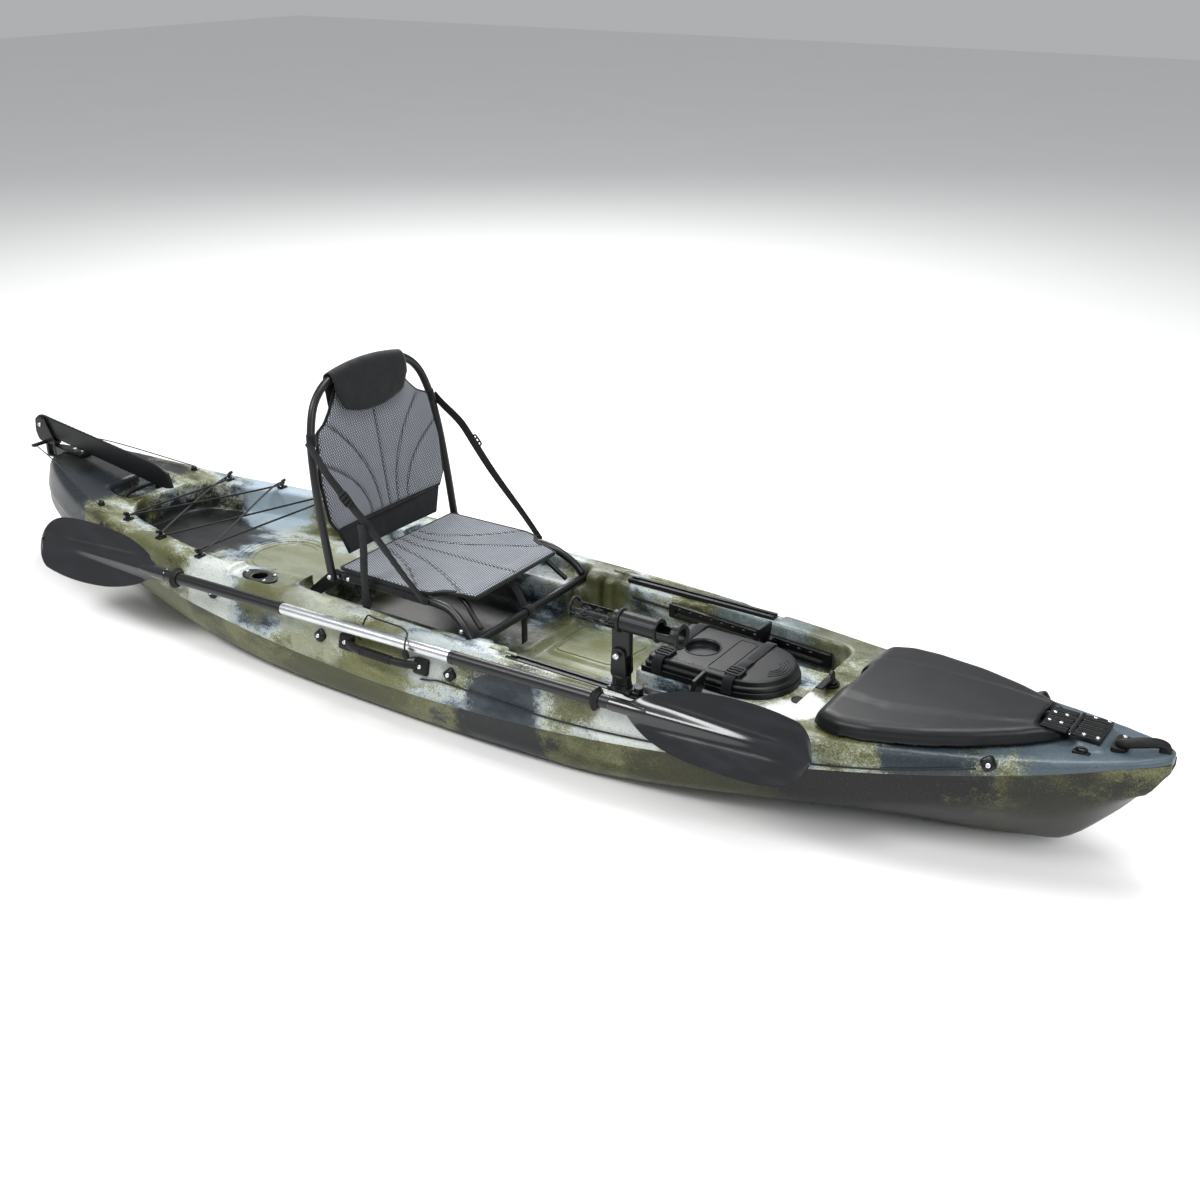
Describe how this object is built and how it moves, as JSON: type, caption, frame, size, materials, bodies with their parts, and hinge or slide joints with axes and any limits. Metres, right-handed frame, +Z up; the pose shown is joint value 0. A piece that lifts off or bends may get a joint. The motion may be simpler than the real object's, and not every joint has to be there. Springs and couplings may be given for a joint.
{
  "type": "fishing kayak",
  "caption": "Sit-on-top fishing kayak in mottled camouflage with framed mesh seat, flip-over rudder, pedals, hatches, rod holders, rails, cords and a side-stowed paddle.",
  "frame": {"origin": "on the flat bottom at the centreline, halfway between the hull's ends", "axes": "+X to the bow, +Y to port, +Z up"},
  "size_m": [3.6842, 0.8758, 0.8271],
  "materials": {
    "olive_hull": "fine-textured moulded polyethylene, mottled olive, blue-grey and black",
    "pale_deck": "fine-textured moulded polyethylene, mottled pale grey, blue-grey and olive",
    "black_plastic": "moulded black nylon, light grain",
    "black_satin": "satin black moulded plastic",
    "grey_mesh": "woven grey mesh, padded and stitched",
    "black_fabric": "black woven fabric",
    "webbing": "ribbed black webbing",
    "black_tube": "black powder-coated aluminium tube",
    "bright_tube": "brushed bright aluminium tube",
    "blade": "glossy dark grey glass-filled nylon",
    "steel": "plain stainless steel",
    "cord": "braided black cord",
    "rubber": "matt black soft rubber"
  },
  "bodies": {
    "hull": {"hull_bottom": "olive_hull", "deck_moulding": "pale_deck", "side_handle_port": "rubber", "side_handle_starboard": "rubber", "accessory_rail_port": "black_satin", "accessory_rail_starboard": "black_satin", "foot_track_port": "black_plastic", "foot_track_starboard": "black_plastic", "flush_rod_holder_port": "black_plastic", "flush_rod_holder_starboard": "black_plastic", "seat_side_tube_port": "black_tube", "seat_side_tube_starboard": "black_tube", "seat_front_strut_port": "black_tube", "seat_front_strut_starboard": "black_tube", "seat_rear_leg_port": "black_plastic", "seat_rear_leg_starboard": "black_plastic", "seat_front_bar": "black_tube", "seat_rear_bar": "black_tube", "seat_sling": "grey_mesh", "front_webbing": "webbing", "side_strap_port": "webbing", "side_strap_starboard": "webbing", "strap_buckle_port": "black_plastic", "strap_buckle_starboard": "black_plastic", "strap_tail": "webbing", "steering_line_port": "cord", "steering_line_starboard": "cord", "tankwell_bungee": "cord", "stern_handle": "rubber", "bow_handle": "rubber", "drain_plug": "rubber", "centre_hatch_rim": "black_plastic", "hinge_leaf_deck": "black_plastic", "hinge_pin": "steel", "hatch_latch_base": "black_plastic", "rudder_bracket": "black_plastic", "rod_holder_base": "black_plastic", "side_line": "cord", "paddle_keeper": "cord"},
    "rudder_head": {"rudder_yoke": "black_plastic"},
    "rudder": {"rudder_blade": "black_satin"},
    "pedal_port": {"foot_pedal_port": "black_plastic"},
    "pedal_starboard": {"foot_pedal_starboard": "black_plastic"},
    "backrest": {"backrest_tube": "black_tube", "backrest_panel": "grey_mesh", "backrest_headpad": "black_fabric", "lumbar_band": "black_fabric"},
    "bow_lid": {"bow_hatch_lid": "black_satin", "hinge_leaf_lid": "black_plastic"},
    "latch": {"hatch_latch_knob": "black_plastic"},
    "centre_lid": {"centre_hatch_lid": "black_satin", "centre_hatch_strap_aft": "webbing", "centre_hatch_strap_fore": "webbing"},
    "paddle": {"paddle_centre_tube": "bright_tube", "paddle_sleeve_bow": "black_satin", "paddle_sleeve_stern": "black_satin", "paddle_blade_bow": "blade", "paddle_blade_stern": "blade"},
    "rod_turret": {"rod_holder_turret": "black_plastic"},
    "rod_cradle": {"rod_holder_cradle": "black_satin"}
  },
  "joints": [
    {"name": "rudder_steer", "type": "hinge", "parent": "hull", "child": "rudder_head", "pos_m": [-1.801, 0, 0.305], "axis": [0, 0, 1], "range_deg": [-35, 35], "deforming": ["steering_line_port", "steering_line_starboard"]},
    {"name": "rudder_lift", "type": "hinge", "parent": "rudder_head", "child": "rudder", "pos_m": [-1.852, 0, 0.384], "axis": [0, -1, 0], "range_deg": [0, 255]},
    {"name": "pedal_port_slide", "type": "slide", "parent": "hull", "child": "pedal_port", "axis": [0.9966, -0.0828, 0], "range_m": [-0.062, 0.062]},
    {"name": "pedal_starboard_slide", "type": "slide", "parent": "hull", "child": "pedal_starboard", "axis": [0.9966, 0.0828, 0], "range_m": [-0.062, 0.062]},
    {"name": "backrest_fold", "type": "hinge", "parent": "hull", "child": "backrest", "pos_m": [-0.335, 0, 0.298], "axis": [0, 1, 0], "range_deg": [0, 78], "deforming": ["side_strap_port", "side_strap_starboard", "strap_buckle_port", "strap_buckle_starboard", "strap_tail", "lumbar_band"]},
    {"name": "bow_lid_hinge", "type": "hinge", "parent": "hull", "child": "bow_lid", "pos_m": [1.59, 0, 0.327], "axis": [0, 1, 0], "range_deg": [0, 100]},
    {"name": "latch_turn", "type": "hinge", "parent": "hull", "child": "latch", "pos_m": [1.01, 0, 0.258], "axis": [0, 0, 1], "range_deg": [0, 90]},
    {"name": "centre_lid_lift", "type": "slide", "parent": "hull", "child": "centre_lid", "axis": [0, 0, 1], "range_m": [0, 0.12]},
    {"name": "paddle_lift", "type": "slide", "parent": "hull", "child": "paddle", "axis": [0, -0.5, 0.866], "range_m": [0, 0.25], "deforming": ["paddle_keeper"]},
    {"name": "rod_swivel", "type": "hinge", "parent": "hull", "child": "rod_turret", "pos_m": [0.603, -0.285, 0.266], "axis": [0, 0, 1], "range_deg": [-180, 180]},
    {"name": "rod_tilt", "type": "hinge", "parent": "rod_turret", "child": "rod_cradle", "pos_m": [0.603, -0.285, 0.345], "axis": [0, 1, 0], "range_deg": [-55, 40]}
  ],
  "couplings": [
    {"joint": "pedal_starboard_slide", "follows": "rudder_steer", "m_per_rad": 0.1},
    {"joint": "pedal_port_slide", "follows": "rudder_steer", "m_per_rad": -0.1}
  ]
}
